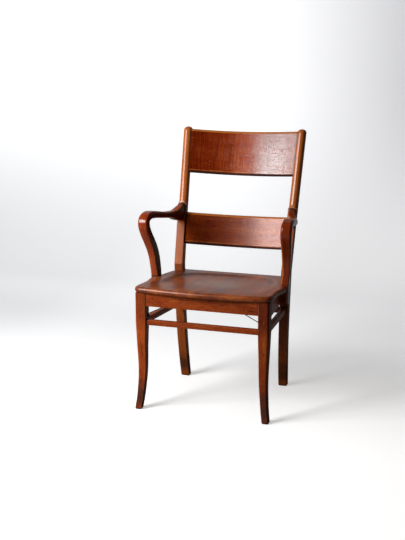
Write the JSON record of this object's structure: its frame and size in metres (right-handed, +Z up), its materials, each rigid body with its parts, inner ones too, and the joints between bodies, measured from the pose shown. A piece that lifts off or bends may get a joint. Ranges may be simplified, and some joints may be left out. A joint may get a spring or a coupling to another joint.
{
  "type": "wooden office armchair",
  "caption": "Wooden office armchair with a saddled plank seat, bent one-piece arms, a raked back with a curved crest rail and lower slat, and a box stretcher.",
  "frame": {"origin": "middle of the chair's footprint box, on the floor", "axes": "+Z up, -Y is the front of the chair, +X is to the right when the chair is seen from the front"},
  "size_m": [0.5798, 0.5985, 0.992],
  "materials": {
    "frame_wood": "reddish brown stain under a worn satin gloss finish",
    "inner_wood": "thin stain, unpolished",
    "steel": "dull, darkened with age"
  },
  "bodies": {
    "root": {"back_post_left": "frame_wood", "back_post_right": "frame_wood", "front_leg_left": "frame_wood", "front_leg_right": "frame_wood", "crest_rail": "frame_wood", "lower_back_slat": "frame_wood", "seat": "frame_wood", "front_apron": "frame_wood", "rear_apron": "frame_wood", "left_apron": "frame_wood", "right_apron": "frame_wood", "front_stretcher": "frame_wood", "rear_stretcher": "frame_wood", "left_stretcher": "frame_wood", "right_stretcher": "frame_wood", "arm_left": "frame_wood", "arm_right": "frame_wood", "corner_block_front_left": "inner_wood", "corner_block_front_right": "inner_wood", "corner_block_rear_left": "inner_wood", "corner_block_rear_right": "inner_wood", "brace_wire_left": "steel", "brace_wire_right": "steel", "brace_screws": "steel", "block_screws": "steel", "seat_screws": "steel", "arm_foot_screws": "steel", "arm_post_screws": "steel", "arm_plugs": "frame_wood"}
  },
  "joints": []
}
